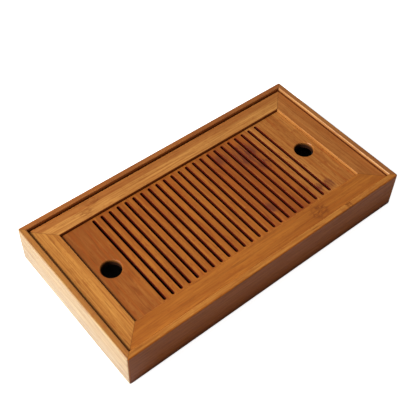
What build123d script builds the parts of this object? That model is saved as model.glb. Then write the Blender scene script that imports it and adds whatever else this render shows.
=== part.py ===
from build123d import *
import os

# Tea tray of laminated bamboo: an open box with a loose drip tray inside and a
# framed, slotted lid that drops in and stands on ledges just below the rim.
# Millimetres. The origin is the middle of the underside, +X runs along the long
# side, +Y away from the front wall, +Z up. The box stands on the plane z = 0.

os.makedirs("parts", exist_ok=True)

# Box
box_length = 270.0
box_width = 142.0
box_height = 35.0
wall_thickness = 5.0
rim_outer_radius = 1.2
rim_inner_radius = 0.8
underside_radius = 0.5
upright_corner_radius = 1.5

# Base panel, which floats in a groove round the inside of the walls
base_thickness = 4.0
base_lift = 2.0
base_groove_depth = 2.5
base_play = 0.3

# Ledges glued and pinned inside the walls, which carry the lid
ledge_width = 6.0
pin_radius = 0.6
pin_bite = 3.0
long_ledge_pins = 4
short_ledge_pins = 2

# Keys hidden in the mitres of the box
box_key_thickness = 1.2
box_key_across = 4.0
box_key_margin = 3.0

# Lid: where it sits in the box, and its frame
lid_recess = 2.8
lid_gap = 0.8
lid_thickness = 9.0
rail_width = 17.0
rail_top_radius = 0.8
rail_inner_radius = 0.5
rail_underside_radius = 0.5
lid_corner_radius = 1.0

# Slotted panel, held by a tongue in the groove of the rails
panel_thickness = 6.0
panel_recess = 2.4
panel_gap = 0.4
tongue_thickness = 3.0
tongue_length = 4.0
tongue_play = 0.5
slot_pitch = 7.6
slot_width = 2.3
slot_end_margin = 2.4
slots_from_frame = 28.0
slot_easing = 0.3
finger_hole_radius = 8.1
finger_hole_from_frame = 13.7
finger_hole_easing = 0.6

# Keys hidden in the mitres of the lid
lid_key_thickness = 2.0
lid_key_along = 8.0
lid_key_across = 10.0
lid_key_inset = 7.5

# Drip tray, a thin moulded dish that stands on the base panel
tray_clearance = 1.0
tray_below_lid = 1.0
tray_wall = 1.2
tray_lip_width = 3.0
tray_lip_thickness = 1.4
tray_corner_radius = 8.0
tray_floor_radius = 4.0

# How far a cutting shape runs past what it cuts
overrun = 1.0

# Heights and sizes that follow from the values above
base_top = base_lift + base_thickness
lid_top = box_height - lid_recess
lid_bottom = lid_top - lid_thickness
panel_top = lid_top - panel_recess
panel_bottom = panel_top - panel_thickness
tongue_bottom = panel_bottom + (panel_thickness - tongue_thickness) / 2
tongue_top = tongue_bottom + tongue_thickness
inner_length = box_length - 2 * wall_thickness
inner_width = box_width - 2 * wall_thickness
lid_length = inner_length - 2 * lid_gap
lid_width = inner_width - 2 * lid_gap
opening_length = lid_length - 2 * rail_width
opening_width = lid_width - 2 * rail_width

# As many slots as the opening has room for at this pitch
slot_count = 1 + int((opening_length - 2 * slots_from_frame) / slot_pitch)

# The sides of a frame, counted in quarter turns from the front
quarter_turns = {"front": 0, "right": 1, "back": 2, "left": 3}


def slab(length, width, bottom, top):
    """A block centred on the Z axis between two heights."""
    return Pos(0, 0, bottom) * extrude(Rectangle(length, width), amount=top - bottom)


def rounded_slab(length, width, radius, bottom, top):
    """A block with rounded upright corners between two heights."""
    return Pos(0, 0, bottom) * extrude(RectangleRounded(length, width, radius), amount=top - bottom)


def eased_ring(length, width, member, corner_radius, bottom, top, outer_radius, inner_radius, lower_radius):
    """A frame in one piece, with rounded upright corners and eased long edges."""
    ring = rounded_slab(length, width, corner_radius, bottom, top)
    ring -= slab(length - 2 * member, width - 2 * member, bottom - overrun, top + overrun)
    ring = fillet(ring.faces().sort_by(Axis.Z)[-1].outer_wire().edges(), outer_radius)
    ring = fillet(ring.faces().sort_by(Axis.Z)[-1].inner_wires()[0].edges(), inner_radius)
    ring = fillet(ring.faces().sort_by(Axis.Z)[0].outer_wire().edges(), lower_radius)
    return fillet(ring.faces().sort_by(Axis.Z)[0].inner_wires()[0].edges(), lower_radius)


def cut_groove(ring, length, width, member, depth, bottom, top):
    """The ring with a groove run round its inner face."""
    return ring - slab(length - 2 * (member - depth), width - 2 * (member - depth), bottom, top)


def mitred_member(ring, length, width, member, turns):
    """The member on one side of a ring, cut free at 45 degrees at both ends."""
    run, across = (length, width) if turns % 2 == 0 else (width, length)
    reach = member + overrun
    outline = Polyline(
        (-run / 2 - overrun, -across / 2 - overrun),
        (run / 2 + overrun, -across / 2 - overrun),
        (run / 2 - reach, -across / 2 + reach),
        (-run / 2 + reach, -across / 2 + reach),
        close=True,
    )
    wedge = Pos(0, 0, -overrun) * extrude(make_face(outline), amount=box_height + 2 * overrun)
    return ring & Rot(0, 0, 90 * turns) * wedge


def mitre_keys(length, width, inset, along, across, bottom, top):
    """Four small blocks, one across each mitre, turned to the corner diagonals."""
    keys = []
    for side_x in (-1, 1):
        for side_y in (-1, 1):
            place = Pos(side_x * (length / 2 - inset), side_y * (width / 2 - inset), 0)
            turn = Rot(0, 0, 45 * side_x * side_y)
            keys.append(place * turn * slab(along, across, bottom, top))
    return Part() + keys


def make_box_keys():
    """Upright keys, centred in the thickness of the walls, above the base panel."""
    bottom = base_top + box_key_margin
    top = box_height - box_key_margin
    inset = wall_thickness / 2
    return mitre_keys(box_length, box_width, inset, box_key_thickness, box_key_across, bottom, top)


def make_lid_keys():
    """Flat keys outside the panel's groove, halfway up the rails."""
    middle = lid_bottom + lid_thickness / 2
    bottom = middle - lid_key_thickness / 2
    top = middle + lid_key_thickness / 2
    return mitre_keys(lid_length, lid_width, lid_key_inset, lid_key_along, lid_key_across, bottom, top)


def level_pin(x, y, outward_x, outward_y):
    """A headless pin driven outward from a ledge's face into the wall."""
    start = Plane(origin=(x, y, (base_top + lid_bottom) / 2), z_dir=(outward_x, outward_y, 0))
    return extrude(start * Circle(pin_radius), amount=ledge_width + pin_bite)


def make_pins():
    """The pins of all four ledges, evenly spaced along each."""
    face_x = inner_length / 2 - ledge_width
    face_y = inner_width / 2 - ledge_width
    pins = []
    for side in (-1, 1):
        for index in range(long_ledge_pins):
            x = inner_length * ((index + 1 / 2) / long_ledge_pins - 1 / 2)
            pins.append(level_pin(x, side * face_y, 0, side))
        for index in range(short_ledge_pins):
            y = 2 * face_y * ((index + 1 / 2) / short_ledge_pins - 1 / 2)
            pins.append(level_pin(side * face_x, y, side, 0))
    return Part() + pins


def make_walls(keys, pins):
    """Four mitred walls, grooved for the base panel."""
    ring = eased_ring(
        box_length, box_width, wall_thickness, upright_corner_radius, 0, box_height,
        rim_outer_radius, rim_inner_radius, underside_radius,
    )
    ring = cut_groove(
        ring, box_length, box_width, wall_thickness, base_groove_depth, base_lift, base_top
    )
    ring -= keys
    ring -= pins
    return {
        side + "_wall": mitred_member(ring, box_length, box_width, wall_thickness, turns)
        for side, turns in quarter_turns.items()
    }


def make_base():
    """The base panel, a little short of the bottom of its groove all round."""
    spread = 2 * (base_groove_depth - base_play)
    return slab(inner_length + spread, inner_width + spread, base_lift, base_top)


def make_ledges(pins):
    """Long ledges run wall to wall, short ones stand between them."""
    long_ledge = slab(inner_length, ledge_width, base_top, lid_bottom)
    short_ledge = slab(ledge_width, inner_width - 2 * ledge_width, base_top, lid_bottom)
    long_y = (inner_width - ledge_width) / 2
    short_x = (inner_length - ledge_width) / 2
    return {
        "front_ledge": Pos(0, -long_y, 0) * long_ledge - pins,
        "back_ledge": Pos(0, long_y, 0) * long_ledge - pins,
        "left_ledge": Pos(-short_x, 0, 0) * short_ledge - pins,
        "right_ledge": Pos(short_x, 0, 0) * short_ledge - pins,
    }


def make_drip_tray():
    """A thin dish with rounded corners and a flat lip round its top."""
    lip_length = inner_length - 2 * (ledge_width + tray_clearance)
    lip_width = inner_width - 2 * (ledge_width + tray_clearance)
    dish_length = lip_length - 2 * tray_lip_width
    dish_width = lip_width - 2 * tray_lip_width
    top = lid_bottom - tray_below_lid
    dish = rounded_slab(dish_length, dish_width, tray_corner_radius, base_top, top)
    dish = fillet(dish.edges().group_by(Axis.Z)[0], tray_floor_radius)
    hollow = rounded_slab(
        dish_length - 2 * tray_wall,
        dish_width - 2 * tray_wall,
        tray_corner_radius - tray_wall,
        base_top + tray_wall,
        top + overrun,
    )
    hollow = fillet(hollow.edges().group_by(Axis.Z)[0], tray_floor_radius - tray_wall)
    lip_radius = tray_corner_radius + tray_lip_width
    lip = rounded_slab(lip_length, lip_width, lip_radius, top - tray_lip_thickness, top)
    return dish + lip - hollow


def make_rails(keys):
    """Four mitred rails, grooved for the panel's tongue."""
    ring = eased_ring(
        lid_length, lid_width, rail_width, lid_corner_radius, lid_bottom, lid_top,
        rail_top_radius, rail_inner_radius, rail_underside_radius,
    )
    groove_depth = tongue_length + tongue_play
    ring = cut_groove(ring, lid_length, lid_width, rail_width, groove_depth, tongue_bottom, tongue_top)
    ring -= keys
    return {
        "lid_" + side + "_rail": mitred_member(ring, lid_length, lid_width, rail_width, turns)
        for side, turns in quarter_turns.items()
    }


def make_panel():
    """The slotted panel, with its tongue, slots and two finger holes, eased on top."""
    field_length = opening_length - 2 * panel_gap
    field_width = opening_width - 2 * panel_gap
    panel = slab(field_length, field_width, panel_bottom, panel_top)
    tongue_spread = 2 * tongue_length
    panel += slab(opening_length + tongue_spread, opening_width + tongue_spread, tongue_bottom, tongue_top)
    slot = SlotOverall(opening_width - 2 * slot_end_margin, slot_width, rotation=90)
    hole_x = opening_length / 2 - finger_hole_from_frame
    below = Pos(0, 0, panel_bottom - overrun)
    depth = panel_thickness + 2 * overrun
    panel -= below * extrude(Sketch() + GridLocations(slot_pitch, 0, slot_count, 1) * slot, amount=depth)
    mouths = panel.faces().sort_by(Axis.Z)[-1].inner_wires()
    panel = chamfer([edge for mouth in mouths for edge in mouth.edges()], slot_easing)
    holes = Sketch() + Locations((-hole_x, 0), (hole_x, 0)) * Circle(finger_hole_radius)
    panel -= below * extrude(holes, amount=depth)
    rims = panel.faces().sort_by(Axis.Z)[-1].edges().filter_by(GeomType.CIRCLE)
    rims = rims.filter_by(lambda edge: abs(edge.radius - finger_hole_radius) < finger_hole_easing)
    return chamfer(rims, finger_hole_easing)


box_keys = make_box_keys()
lid_keys = make_lid_keys()
ledge_pins = make_pins()

parts = {
    **make_walls(box_keys, ledge_pins),
    **make_ledges(ledge_pins),
    **make_rails(lid_keys),
    "box_corner_keys": box_keys,
    "lid_corner_keys": lid_keys,
    "ledge_pins": ledge_pins,
    "base_panel": make_base(),
    "drip_tray": make_drip_tray(),
    "slotted_panel": make_panel(),
}

for name, shape in parts.items():
    export_step(shape, "parts/" + name + ".step")
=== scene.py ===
import math

import bpy
from mathutils import Matrix, Vector


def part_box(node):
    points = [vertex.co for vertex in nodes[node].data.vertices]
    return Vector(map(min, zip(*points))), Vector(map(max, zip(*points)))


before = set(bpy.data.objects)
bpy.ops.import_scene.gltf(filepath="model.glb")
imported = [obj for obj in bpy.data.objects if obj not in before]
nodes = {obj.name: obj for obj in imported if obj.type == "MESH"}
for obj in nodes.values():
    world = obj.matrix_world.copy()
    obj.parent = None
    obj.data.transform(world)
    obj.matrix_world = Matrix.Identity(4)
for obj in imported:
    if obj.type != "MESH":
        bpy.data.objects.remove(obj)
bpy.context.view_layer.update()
scene = bpy.context.scene

mm = 0.001
X, Y, Z = 0, 1, 2

# Camera: its place in millimetres from the middle of the underside, its angles in
# degrees, lens and sensor in millimetres, and how near and far it sees in metres
camera_place = Vector((-265.71, -293.02, 503.40))
camera_heading = 40.5669
camera_tilt = 49.8064
camera_roll = 1.7866
camera_lens = 70.414
sensor_width = 36.0
nearest_seen = 0.01
farthest_seen = 50.0

# Studio, in metres and watts: lights aimed at the tray, and a dim even fill
lights = {
    "key": {"place": (-1.12, 0.22, 1.04), "size": (0.40, 0.40), "power": 31.0},
    "side": {"place": (-1.50, 0.55, 0.38), "size": (0.80, 0.50), "power": 8.0},
}
fill = 0.22
floor_half = 6.0
floor_drop = 0.0002
floor_glow = 0.86
floor_roughness = 0.9
floor_paint = (0.93, 0.93, 0.93, 1.0)
floor_bounce = (0.25, 0.25, 0.25, 1.0)
white = (1.0, 1.0, 1.0, 1.0)


def tones(light, dark, red):
    """Linear colours of bamboo: of the light strips, the darker ones and the reddest ones."""
    return tuple((*rgb, 1.0) for rgb in (light, dark, red))


usual = tones((0.58, 0.255, 0.055), (0.45, 0.176, 0.032), (0.35, 0.111, 0.018))
light = tones((0.59, 0.268, 0.067), (0.465, 0.192, 0.042), (0.38, 0.132, 0.024))
medium = tones((0.51, 0.205, 0.044), (0.40, 0.141, 0.027), (0.31, 0.092, 0.016))
brown = tones((0.455, 0.175, 0.041), (0.36, 0.122, 0.025), (0.28, 0.080, 0.015))
tawny = tones((0.450, 0.186, 0.035), (0.355, 0.130, 0.021), (0.277, 0.086, 0.013))
golden = tones((0.350, 0.180, 0.032), (0.285, 0.135, 0.021), (0.240, 0.098, 0.014))
umber = tones((0.370, 0.145, 0.031), (0.29, 0.100, 0.019), (0.225, 0.066, 0.011))
deep = tones((0.45, 0.153, 0.022), (0.355, 0.107, 0.0145), (0.26, 0.066, 0.009))
dark = tones((0.38, 0.128, 0.026), (0.29, 0.088, 0.016), (0.21, 0.052, 0.009))
ruddy = tones((0.42, 0.130, 0.021), (0.33, 0.087, 0.014), (0.24, 0.055, 0.009))
# Painted light: brighter tones for faces by the lid's gaps and for the right wall's lit inner face
bright = tones((0.66, 0.350, 0.120), (0.61, 0.310, 0.100), (0.56, 0.270, 0.085))
# Painted sheen: pale tones for the lit, glossy outer face of the left wall, paler still lower down
pale = tones((0.56, 0.395, 0.175), (0.51, 0.345, 0.142), (0.485, 0.315, 0.125))
paler = tones((0.56, 0.430, 0.240), (0.51, 0.375, 0.195), (0.485, 0.345, 0.170))
# Painted shade: darker, redder tones for the front wall's outer face, which faces away from the key
front_face_shade = tones((0.51, 0.138, 0.016), (0.45, 0.110, 0.011), (0.39, 0.087, 0.008))
# Painted shade: in the gaps beside the lid and the panel, and a painted shadow along the front wall's
# foot
painted_shade = tones((0.20, 0.045, 0.007), (0.16, 0.033, 0.005), (0.12, 0.023, 0.003))

# Single colours laid over those tones
vein_red = (0.34, 0.075, 0.009, 1.0)
dash_red = (0.26, 0.055, 0.010, 1.0)
fibre_brown = (0.23, 0.066, 0.010, 1.0)
fleck_brown = (0.15, 0.038, 0.006, 1.0)
patch_red = (0.15, 0.036, 0.014, 1.0)
scar_brown = (0.19, 0.048, 0.008, 1.0)
glue_brown = (0.12, 0.035, 0.006, 1.0)
# Painted shade inside the slots and the finger holes' bores, near the top and further down
slot_shade_top = (0.085, 0.0045, 0.0002, 1.0)
slot_shade_bottom = (0.012, 0.0015, 0.0003, 1.0)
hole_shade_top = (0.260, 0.088, 0.016, 1.0)
hole_shade_bottom = (0.024, 0.007, 0.003, 1.0)

# Noises drawn out along the grain: waves in a metre along and across it, how far
# they shift from one lamination to the next, detail, roughness and distortion
grain_noises = {
    "fibre": (20.0, 900.0, 1.0, 3.0, 0.62, 0.0),
    "streak": (11.0, 210.0, 2.0, 4.0, 0.60, 0.6),
    "fleck": (60.0, 1300.0, 5.0, 1.0, 0.50, 0.0),
    "dash": (170.0, 620.0, 4.0, 2.0, 0.60, 0.5),
    "vein": (16.0, 430.0, 6.0, 2.0, 0.55, 0.3),
    "mottle": (38.0, 190.0, 3.0, 3.0, 0.60, 0.8),
    "cloud": (13.0, 34.0, 0.0, 2.0, 0.50, 0.0),
}
# Waves through the board, as a share of those across the grain
through_share = 0.8

# How each layer follows its noise or distance: where the layer starts and where it is
# full, and its strength at either end
curves = {
    "streak": (0.30, 0.72, 0.0, 1.0),
    "lane": (0.5, 1.0, 0.0, 0.5),
    "sliver": (0.3, 1.0, 0.0, 0.15),
    "fibre": (0.58, 0.38, 0.0, 0.5),
    "fleck": (0.64, 0.74, 0.0, 0.5),
    "patch_mottle": (0.43, 0.56, 0.3, 0.9),
    "patch_dash": (0.50, 0.62, 0.0, 0.9),
    "patch_oval": (0.3, 1.1, 1.0, 0.0),
    "scar_oval": (0.55, 1.15, 1.0, 0.0),
    "scar_breaks": (0.40, 0.56, 0.5, 1.0),
    "glue": (0.0001, 0.0005, 0.6, 0.0),
    "roughness": (0.3, 0.7, 0.52, 0.38),
}
# The middle of a noise's range
noise_middle = 0.5

# How the fibres wander: waves in a metre along and across, and how far in metres
wander_along = 11.0
wander_across = 30.0
wander_reach = 0.0022

# Laminations, and the slivers within them
lane_shift_most = 3.0
lane_shift_seed = 0.37
slivers_in_strip = 3.1
sliver_seed_share = 1.7

# Node scars: cells in a metre along and across the grain, how noise bends them, how
# far the arcs reach from the cells' edges, and how strong they are away from the arcs
scar_along = 200.0
scar_across = 270.0
scar_bend_along = 2.2
scar_bend_across = 1.6
arc_core = 0.05
arc_reach = 0.24
between_arcs = 0.08

# The mitres lie where |x| - |y| is this, in metres
mitre_offset = 0.064

# The panel's cut faces, in metres: the finger holes lie beyond this distance from the
# middle, unshaded wood reaches this far down at slots and at holes, and from one depth to
# another the painted shade on the cut faces gets darker
holes_from = 0.0872
holes_fade = 0.0001
unshaded_at_slots = 0.00006
unshaded_at_holes = 0.00060
dark_from = 0.0004
slots_dark_by = 0.0035
holes_dark_by = 0.0036

# The same faces' shares: of the unshaded depth, where the painted shade sets in, how fully it
# covers the wood, the roughness it adds, and the share of it at which the lacquer ends
unshaded_share = 0.6
cut_cover = 0.98
cut_roughness = 0.45
lacquer_ends = 0.5

# Lacquer on the wood, and the relief of its fibres, with its depth in metres
wood_ior = 1.5
specular_share = 0.5
coat_roughness = 0.38
fibre_relief = 0.6
streak_relief = 0.4
relief_depth = 0.00012
relief_strength = 0.5

# Width of a lamination in metres, by kind of board; on the panel it is the slot pitch
wall_strip = 0.012
rail_strip = 0.0085
panel_strip = 0.0076
base_strip = 0.020
ledge_strip = 0.006
key_strip = 0.004

# Where in the noise each piece's bamboo is cut from
seeds = {
    "front_wall": 3.1, "back_wall": 11.7, "left_wall": 21.3, "right_wall": 31.9,
    "front_rail": 5.2, "back_rail": 15.6, "left_rail": 25.4, "right_rail": 35.8,
    "front_ledge": 65.0, "back_ledge": 65.0, "left_ledge": 65.0, "right_ledge": 65.0,
    "panel": 45.3, "base": 55.2, "keys": 75.0,
}

# Node scars and reddish patches, each as place and size along and across the grain
# in metres, and strength
rim_scars = [(0.0805, 0.0350, 0.0060, 0.0050, 0.95)]
front_scars = [(0.0590, -0.0575, 0.020, 0.014, 0.95)]
back_scars = [
    (-0.0838, 0.0535, 0.014, 0.010, 0.50),
    (-0.0740, 0.0608, 0.020, 0.007, 0.70),
]
panel_patches = [
    (0.0250, 0.0560, 0.034, 0.026, 1.5),
    (0.0340, 0.0360, 0.016, 0.016, 1.0),
    (0.0100, 0.0610, 0.022, 0.014, 1.3),
    (-0.0300, 0.0330, 0.016, 0.012, 1.0),
    (-0.0400, 0.0885, 0.014, 0.012, 1.0),
    (-0.0380, 0.0790, 0.012, 0.008, 1.0),
]

# The panel's tongue, which the rails cover
tongue_length = 0.0040

# Gloss of the bamboo, and how strongly its grain is figured
usual_gloss = 0.2
front_gloss = 0.12
back_gloss = 0.4
end_gloss = 0.5
usual_figure = 1.0
panel_figure = 1.9

# Where tones set in below a face: from where, and by where in full, in millimetres
# from the face along its axis
fades = {
    "below_lid": (0.8, 0.1),
    "front": (1.2, 0.2),
    "back_inside": (0.8, 0.1),
    "left_edge": (1.8, 0.8),
    "left": (0.6, 0.05),
    "left_inside": (-0.5, -0.1),
    "right_inside": (0.5, 0.1),
    "back_rail_inside": (0.8, 0.2),
    "left_rail_outside": (0.6, 0.1),
    "right_rail_inside": (0.5, 0.1),
    "right_rail_outside": (-1.2, -0.4),
}

# Other parts of pieces with tones of their own; the front wall's foot gets a painted shadow
# and the left wall's lower part a paler painted sheen. Each is an axis and where on it, in
# metres, the tones set in and are full
front_foot_shade = (Z, 0.0070, 0.0010)
left_lower_sheen = (Z, 0.0240, 0.0080)
back_rail_outer = (Y, 0.0578, 0.0588)
ruddy_from = (X, 0.0100, 0.0300)
ruddy_to = (X, 0.0688, 0.0680)
right_end = (X, 0.0680, 0.0690)
left_end = (X, -0.0800, -0.0950)

# The drip tray's plastic and the pins' wire: colours, waves in a metre, and roughness
# as a curve
plastic_dark = (0.046, 0.041, 0.040, 1.0)
plastic_light = (0.064, 0.057, 0.055, 1.0)
plastic_grain = 900.0
plastic_clouds = 25.0
plastic_roughness = (0.3, 0.7, 0.38, 0.52)
plastic_relief_depth = 0.00005
plastic_relief_strength = 0.4
wire_dark = (0.42, 0.42, 0.43, 1.0)
wire_light = (0.60, 0.60, 0.61, 1.0)
wire_lines = 1500.0
wire_roughness = (0.3, 0.7, 0.25, 0.42)


class Graph:
    """A short way to write a material's node tree."""

    def __init__(self, name):
        self.material = bpy.data.materials.new(name)
        self.material.use_nodes = True
        self.tree = self.material.node_tree

    def node(self, kind, inputs=None, **settings):
        """A new node with these settings, its inputs linked or set."""
        made = self.tree.nodes.new(kind)
        for key, value in settings.items():
            setattr(made, key, value)
        for key, value in (inputs or {}).items():
            self.feed(made.inputs[key], value)
        return made

    def feed(self, socket, value):
        """Links an output to a socket, or sets the socket to a plain value."""
        if isinstance(value, bpy.types.NodeSocket):
            self.tree.links.new(value, socket)
        else:
            socket.default_value = value

    def shade(self, inputs):
        """Links or sets the shader's inputs by name, and gives the finished material."""
        shader = self.tree.nodes["Principled BSDF"]
        for name, value in inputs.items():
            self.feed(shader.inputs[name], value)
        return self.material

    def math(self, operation, a, b=0.0):
        return self.node("ShaderNodeMath", {0: a, 1: b}, operation=operation).outputs[0]

    def add(self, a, b):
        return self.math("ADD", a, b)

    def subtract(self, a, b):
        return self.math("SUBTRACT", a, b)

    def multiply(self, a, b):
        return self.math("MULTIPLY", a, b)

    def larger(self, a, b):
        return self.math("MAXIMUM", a, b)

    def absolute(self, value):
        return self.math("ABSOLUTE", value)

    def whole(self, value):
        return self.math("FLOOR", value)

    def position(self):
        """The place in the part's own frame, in metres."""
        return self.node("ShaderNodeTexCoord").outputs["Object"]

    def split(self, vector):
        return tuple(self.node("ShaderNodeSeparateXYZ", {0: vector}).outputs)

    def join(self, x, y, z):
        return self.node("ShaderNodeCombineXYZ", {0: x, 1: y, 2: z}).outputs[0]

    def noise(self, vector, scale=1.0, detail=2.0, roughness=0.5, distortion=0.0):
        values = {"Scale": scale, "Detail": detail, "Roughness": roughness, "Distortion": distortion}
        return self.node("ShaderNodeTexNoise", {"Vector": vector, **values}).outputs["Fac"]

    def random(self, value):
        return self.node("ShaderNodeTexWhiteNoise", {"W": value}, noise_dimensions="1D").outputs["Value"]

    def ease(self, value, start, full, out_start=0.0, out_full=1.0, shape="SMOOTHSTEP"):
        """Goes from out_start to out_full as the value goes from start to full."""
        limits = {"From Min": start, "From Max": full, "To Min": out_start, "To Max": out_full}
        made = self.node("ShaderNodeMapRange", {"Value": value, **limits}, interpolation_type=shape)
        return made.outputs["Result"]

    def straight(self, value, start, full, out_start, out_full):
        """The same, in a straight line."""
        return self.ease(value, start, full, out_start, out_full, "LINEAR")

    def mix(self, factor, a, b):
        """Colour a where the factor is zero, b where it is one."""
        made = self.node("ShaderNodeMix", data_type="RGBA")
        self.feed(made.inputs["Factor"], factor)
        self.feed(made.inputs[6], a)
        self.feed(made.inputs[7], b)
        return made.outputs[2]

    def bump(self, height, distance, strength):
        values = {"Height": height, "Distance": distance, "Strength": strength}
        return self.node("ShaderNodeBump", values).outputs["Normal"]


class Bamboo(Graph):
    """Laminated carbonised bamboo, its colour laid on layer by layer.

    grain and cross are the axes along and across the fibres, seed is the place in the
    noise and strip the width of a lamination in metres."""

    def __init__(self, name, grain, cross, seed, strip):
        super().__init__(name)
        self.axes = self.split(self.position())
        self.along = self.axes[grain]
        self.across = self.axes[cross]
        self.through = self.axes[X + Y + Z - grain - cross]
        self.make_strips(seed, strip)
        self.noises = {kind: self.draw(*values) for kind, values in grain_noises.items()}
        self.colour = None

    def make_strips(self, seed, strip):
        """Each lamination has its own tone and shift of the fibres, and slivers within it.
        The fibres wander a little, so the grain isn't ruled straight."""
        coarse = self.join(
            self.multiply(self.along, wander_along), self.multiply(self.across, wander_across), seed
        )
        wander = self.multiply(self.subtract(self.noise(coarse), noise_middle), wander_reach)
        self.wandering = self.add(self.across, wander)
        lane = self.whole(self.add(self.multiply(self.across, 1 / strip), seed))
        self.lane_tone = self.random(lane)
        self.lane_shift = self.multiply(self.random(self.add(lane, lane_shift_seed)), lane_shift_most)
        slivers = self.multiply(self.wandering, slivers_in_strip / strip)
        self.sliver_tone = self.random(self.whole(self.add(slivers, seed * sliver_seed_share)))

    def draw(self, along, across, shift, detail, roughness, distortion):
        """Noise drawn out along the grain."""
        place = self.join(
            self.add(self.multiply(self.along, along), self.multiply(self.lane_shift, shift)),
            self.multiply(self.wandering, across),
            self.multiply(self.through, across * through_share),
        )
        return self.noise(place, 1.0, detail, roughness, distortion)

    def lay(self, factor, colour):
        """Lays a colour over what is there so far."""
        self.colour = self.mix(factor, self.colour, colour)

    def blend_faces(self, own_tones, faces):
        """The piece's tones, and others on the faces that have them. A face is its limits
        and its tones, and a limit is an axis and where on it the tones start and are full."""
        blended = own_tones
        for limits, other in faces:
            share = 1.0
            for axis, start, full in limits:
                share = self.multiply(share, self.ease(self.axes[axis], start, full))
            blended = [self.mix(share, a, b) for a, b in zip(blended, other)]
        return blended

    def lay_grain(self, light_tone, dark_tone, red_tone, figure):
        """The wood itself. figure is how strongly it is clouded, mottled and veined."""
        streak = self.straight(self.noises["streak"], *curves["streak"])
        self.colour = self.mix(streak, dark_tone, light_tone)
        self.lay(self.ease(self.lane_tone, *curves["lane"]), red_tone)
        self.lay(self.ease(self.sliver_tone, *curves["sliver"]), dark_tone)
        # Each noise with where its layer starts and is full, its strength and its colour
        figures = (
            ("cloud", 0.45, 0.75, 0.45, red_tone),
            ("mottle", 0.52, 0.72, 0.50, red_tone),
            ("mottle", 0.48, 0.28, 0.35, light_tone),
            ("vein", 0.49, 0.64, 0.24, vein_red),
            ("vein", 0.47, 0.34, 0.20, light_tone),
            ("dash", 0.54, 0.66, 0.30, dash_red),
        )
        for kind, start, full, strength, colour in figures:
            self.lay(self.ease(self.noises[kind], start, full, 0.0, strength * figure), colour)
        self.lay(self.straight(self.noises["fibre"], *curves["fibre"]), fibre_brown)
        self.lay(self.straight(self.noises["fleck"], *curves["fleck"]), fleck_brown)

    def oval(self, spot, curve):
        """An oval on the face that fades out by a curve over its radius, which is 1 at the rim."""
        spot_along, spot_across, length, width = spot
        u = self.multiply(self.add(self.along, -spot_along), 2 / length)
        v = self.multiply(self.add(self.across, -spot_across), 2 / width)
        radius = self.math("SQRT", self.add(self.multiply(u, u), self.multiply(v, v)))
        return self.ease(radius, *curve)

    def lay_patch(self, patch):
        """A reddish area, mottled and dashed."""
        *spot, strength = patch
        mottles = self.ease(self.noises["mottle"], *curves["patch_mottle"])
        dashes = self.ease(self.noises["dash"], *curves["patch_dash"])
        stain = self.multiply(self.oval(spot, curves["patch_oval"]), self.larger(mottles, dashes))
        self.lay(self.multiply(stain, strength), patch_red)

    def scar(self, mark):
        """The broken, bent arcs of a bamboo node."""
        *spot, strength = mark
        bend_along = self.multiply(self.subtract(self.noises["dash"], noise_middle), scar_bend_along)
        bend_across = self.multiply(self.noises["mottle"], scar_bend_across)
        place = self.join(
            self.add(self.multiply(self.along, scar_along), bend_along),
            self.add(self.multiply(self.across, scar_across), bend_across),
            0.0,
        )
        cells = {"Vector": place, "Scale": 1.0}
        edges = self.node("ShaderNodeTexVoronoi", cells, feature="DISTANCE_TO_EDGE").outputs["Distance"]
        arcs = self.ease(edges, arc_core, arc_reach, strength, between_arcs * strength)
        breaks = self.ease(self.noises["mottle"], *curves["scar_breaks"])
        return self.multiply(self.oval(spot, curves["scar_oval"]), self.multiply(breaks, arcs))

    def lay_scars(self, marks):
        """Scars that overlap don't add up: the stronger one shows."""
        strongest = 0.0
        for mark in marks:
            strongest = self.larger(strongest, self.scar(mark))
        self.lay(strongest, scar_brown)

    def lay_glue_lines(self):
        """A dark line at the mitres."""
        apart = self.subtract(self.absolute(self.axes[X]), self.absolute(self.axes[Y]))
        from_mitre = self.absolute(self.add(apart, -mitre_offset))
        self.lay(self.ease(from_mitre, *curves["glue"]), glue_brown)

    def lay_cut_shade(self, top):
        """Below the panel's top the slots and holes get painted shade, darker further down,
        but the wide easing of the holes is left unshaded."""
        below = self.subtract(top, self.axes[Z])
        beyond = self.absolute(self.axes[X])
        in_holes = self.ease(beyond, holes_from, holes_from + holes_fade)
        unshaded_depth = self.ease(in_holes, 0.0, 1.0, unshaded_at_slots, unshaded_at_holes)
        cut = self.ease(below, self.multiply(unshaded_depth, unshaded_share), unshaded_depth)
        slot_shade = self.mix(self.ease(below, dark_from, slots_dark_by), slot_shade_top, slot_shade_bottom)
        hole_shade = self.mix(self.ease(below, dark_from, holes_dark_by), hole_shade_top, hole_shade_bottom)
        self.lay(self.multiply(cut, cut_cover), self.mix(in_holes, slot_shade, hole_shade))
        return cut

    def lacquer(self, gloss, cut):
        """The finished material. Where cut is given, the lacquer ends at the cut faces."""
        rough = self.ease(self.noises["fibre"], *curves["roughness"])
        coat = gloss
        if cut is not None:
            rough = self.add(rough, self.multiply(cut, cut_roughness))
            coat = self.ease(cut, 0.0, lacquer_ends, gloss, 0.0)
        relief = self.add(
            self.multiply(self.noises["fibre"], fibre_relief),
            self.multiply(self.noises["streak"], streak_relief),
        )
        return self.shade({
            "Base Color": self.colour,
            "Roughness": rough,
            "IOR": wood_ior,
            "Specular IOR Level": specular_share * gloss,
            "Coat Weight": coat,
            "Coat Roughness": coat_roughness,
            "Normal": self.bump(relief, relief_depth, relief_strength),
        })


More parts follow.
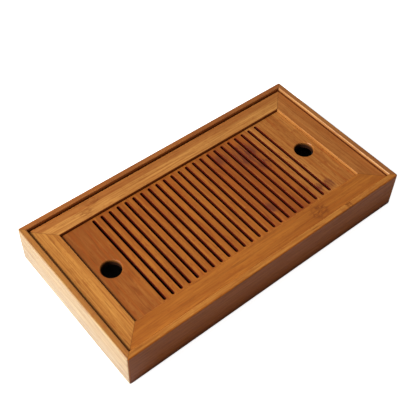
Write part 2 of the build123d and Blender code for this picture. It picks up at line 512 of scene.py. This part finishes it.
def bamboo(
    name, grain, cross, strip, own_tones, *,
    marks=(), patches=(), faces=(), mitred=True, top=None, gloss=usual_gloss, figure=usual_figure,
):
    """A piece's bamboo. top is the height below which slots and holes get painted shade inside."""
    wood = Bamboo("bamboo_" + name, grain, cross, seeds[name], strip)
    wood.lay_grain(*wood.blend_faces(own_tones, faces), figure)
    for patch in patches:
        wood.lay_patch(patch)
    if marks:
        wood.lay_scars(marks)
    if mitred:
        wood.lay_glue_lines()
    cut = None if top is None else wood.lay_cut_shade(top)
    return wood.lacquer(gloss, cut)


def black_plastic():
    """Moulded black polypropylene with a faint grain."""
    g = Graph("black_plastic")
    grain = g.noise(g.position(), plastic_grain)
    clouds = g.noise(g.position(), plastic_clouds)
    return g.shade({
        "Base Color": g.mix(clouds, plastic_dark, plastic_light),
        "Roughness": g.ease(clouds, *plastic_roughness),
        "Normal": g.bump(grain, plastic_relief_depth, plastic_relief_strength),
    })


def steel():
    """Bright drawn wire."""
    g = Graph("steel_wire")
    lines = g.noise(g.position(), wire_lines)
    return g.shade({
        "Base Color": g.mix(lines, wire_dark, wire_light),
        "Metallic": 1.0,
        "Roughness": g.ease(lines, *wire_roughness),
    })


def dress(node, material):
    """Puts one material on every slot of a node."""
    slots = nodes[node].material_slots
    if not slots:
        nodes[node].data.materials.append(material)
    for slot in slots:
        slot.material = material


def by_face(name, axis, face):
    """The limit at which a piece's tones set in below one of its faces."""
    start, full = fades[name]
    return (axis, face + start * mm, face + full * mm)


def dress_walls():
    """The walls. Outside, the left one has a golden band over its rounded top edge and painted
    sheen on its face, paler lower down; the front one has painted shade, with a painted shadow
    along its foot. Inside, the left and right ones have painted light, and the back and right
    ones painted shade below the lid's top."""
    below_lid = by_face("below_lid", Z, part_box("lid_front_rail")[1][Z])

    # Painted shade on the front wall's outer face, and a painted shadow along its foot
    front = by_face("front", Y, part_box("front_wall")[0][Y])
    front_wood = bamboo(
        "front_wall", X, Z, wall_strip, usual, gloss=front_gloss, marks=rim_scars,
        faces=[([front], front_face_shade), ([front, front_foot_shade], painted_shade)],
    )
    dress("front_wall", front_wood)

    # Painted shade on the back wall's inner face below the lid's top, by the gap
    back_inside = by_face("back_inside", Y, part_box("back_wall")[0][Y])
    back_wood = bamboo(
        "back_wall", X, Z, wall_strip, dark, gloss=back_gloss,
        faces=[([back_inside, below_lid], painted_shade)],
    )
    dress("back_wall", back_wood)

    left_low, left_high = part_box("left_wall")
    left_edge = by_face("left_edge", X, left_low[X])
    left = by_face("left", X, left_low[X])
    left_inside = by_face("left_inside", X, left_high[X])
    # Painted sheen on the left wall's outer face, paler lower down, and painted light on its inner face
    # by the gap
    left_wood = bamboo(
        "left_wall", Y, Z, wall_strip, tawny, gloss=end_gloss,
        faces=[
            ([left_edge], golden), ([left], pale), ([left, left_lower_sheen], paler), ([left_inside], bright),
        ],
    )
    dress("left_wall", left_wood)

    # Painted light on the right wall's inner face above the lid, and painted shade below the lid's top
    right_inside = by_face("right_inside", X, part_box("right_wall")[0][X])
    right_wood = bamboo(
        "right_wall", Y, Z, wall_strip, umber, gloss=end_gloss,
        faces=[([right_inside], bright), ([right_inside, below_lid], painted_shade)],
    )
    dress("right_wall", right_wood)


def dress_rails():
    """The lid's frame. The back rail has a browner outer lamination. Beside the panel, the back
    rail's inner side has painted shade and the right rail's a painted highlight; beside the box,
    the left rail's outer side has painted light and the right rail's painted shade."""
    panel_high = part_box("slotted_panel")[1]

    dress("lid_front_rail", bamboo("front_rail", X, Y, rail_strip, deep, marks=front_scars))

    # Painted shade on the back rail's inner side, beside the panel's far edge
    back_inside = by_face("back_rail_inside", Y, panel_high[Y] - tongue_length)
    back_wood = bamboo(
        "back_rail", X, Y, rail_strip, light, marks=back_scars,
        faces=[([back_rail_outer], brown), ([back_inside], painted_shade)],
    )
    dress("lid_back_rail", back_wood)

    # Painted light on the left rail's outer side, which lifts the shade of the gap by the wall
    left_outside = by_face("left_rail_outside", X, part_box("lid_left_rail")[0][X])
    left_wood = bamboo("left_rail", Y, X, rail_strip, usual, faces=[([left_outside], bright)])
    dress("lid_left_rail", left_wood)

    # A painted highlight on the right rail's inner side beside the panel, and painted shade on its outer
    # side by the wall
    right_inside = by_face("right_rail_inside", X, panel_high[X] - tongue_length)
    right_outside = by_face("right_rail_outside", X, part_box("lid_right_rail")[1][X])
    right_wood = bamboo(
        "right_rail", Y, X, rail_strip, brown,
        faces=[([right_inside], light), ([right_outside], painted_shade)],
    )
    dress("lid_right_rail", right_wood)


def dress_panel():
    """The slotted panel: ruddy strips right of the middle, a lighter right end and a
    darker left end."""
    wood = bamboo(
        "panel", Y, X, panel_strip, deep, figure=panel_figure, patches=panel_patches,
        faces=[([ruddy_from, ruddy_to], ruddy), ([right_end], medium), ([left_end], dark)],
        mitred=False,
        top=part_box("slotted_panel")[1][Z],
    )
    dress("slotted_panel", wood)


def dress_hidden():
    """What the lid and the box hide."""
    dress("base_panel", bamboo("base", X, Y, base_strip, usual, mitred=False))
    sides = {"front": (X, Y), "back": (X, Y), "left": (Y, X), "right": (Y, X)}
    for side, (grain, cross) in sides.items():
        ledge = side + "_ledge"
        dress(ledge, bamboo(ledge, grain, cross, ledge_strip, usual, mitred=False))
    keys = bamboo("keys", X, Y, key_strip, usual, mitred=False)
    dress("box_corner_keys", keys)
    dress("lid_corner_keys", keys)
    dress("drip_tray", black_plastic())
    dress("ledge_pins", steel())


def make_camera():
    """The photograph's viewpoint: from the near left corner, looking down on the lid."""
    data = bpy.data.cameras.new("camera")
    data.sensor_width = sensor_width
    data.lens = camera_lens
    data.clip_start = nearest_seen
    data.clip_end = farthest_seen
    camera = bpy.data.objects.new("camera", data)
    scene.collection.objects.link(camera)
    heading = Matrix.Rotation(math.radians(-camera_heading), 4, "Z")
    tilt = Matrix.Rotation(math.radians(90 - camera_tilt), 4, "X")
    roll = Matrix.Rotation(math.radians(camera_roll), 4, "Z")
    camera.matrix_world = Matrix.Translation(camera_place * mm) @ heading @ tilt @ roll
    scene.camera = camera


def make_floor():
    """A plain pale floor. It glows white to the camera, and bounces little onto the tray."""
    mesh = bpy.data.meshes.new("floor")
    corners = [(x * floor_half, y * floor_half, 0) for x, y in ((-1, -1), (1, -1), (1, 1), (-1, 1))]
    mesh.from_pydata(corners, [], [(0, 1, 2, 3)])
    floor = bpy.data.objects.new("floor", mesh)
    floor.location.z = -floor_drop
    scene.collection.objects.link(floor)
    g = Graph("floor_paint")
    rays = g.node("ShaderNodeLightPath").outputs
    paint = g.shade({
        "Base Color": g.mix(rays["Is Diffuse Ray"], floor_paint, floor_bounce),
        "Roughness": floor_roughness,
        "Emission Color": white,
        "Emission Strength": g.multiply(rays["Is Camera Ray"], floor_glow),
    })
    mesh.materials.append(paint)


def make_light(name, place, size, power):
    """A rectangular light aimed at the middle of the underside."""
    data = bpy.data.lights.new(name, "AREA")
    data.shape = "RECTANGLE"
    data.size, data.size_y = size
    data.energy = power
    light_object = bpy.data.objects.new(name, data)
    scene.collection.objects.link(light_object)
    light_object.location = place
    light_object.rotation_mode = "QUATERNION"
    light_object.rotation_quaternion = (-Vector(place)).to_track_quat("-Z", "Y")


def make_studio():
    """A soft key from the left and a little behind, a side light, and a dim even fill from
    surroundings that the camera sees as white."""
    for name, values in lights.items():
        make_light(name, **values)
    world = bpy.data.worlds.new("studio")
    world.use_nodes = True
    tree = world.node_tree
    background = tree.nodes["Background"]
    background.inputs["Color"].default_value = white
    seen = tree.nodes.new("ShaderNodeLightPath").outputs["Is Camera Ray"]
    strength = tree.nodes.new("ShaderNodeMapRange")
    strength.inputs["To Min"].default_value = fill
    strength.inputs["To Max"].default_value = 1.0
    tree.links.new(seen, strength.inputs["Value"])
    tree.links.new(strength.outputs["Result"], background.inputs["Strength"])
    scene.world = world
    scene.view_settings.view_transform = "Standard"


make_camera()
dress_walls()
dress_rails()
dress_panel()
dress_hidden()
make_floor()
make_studio()
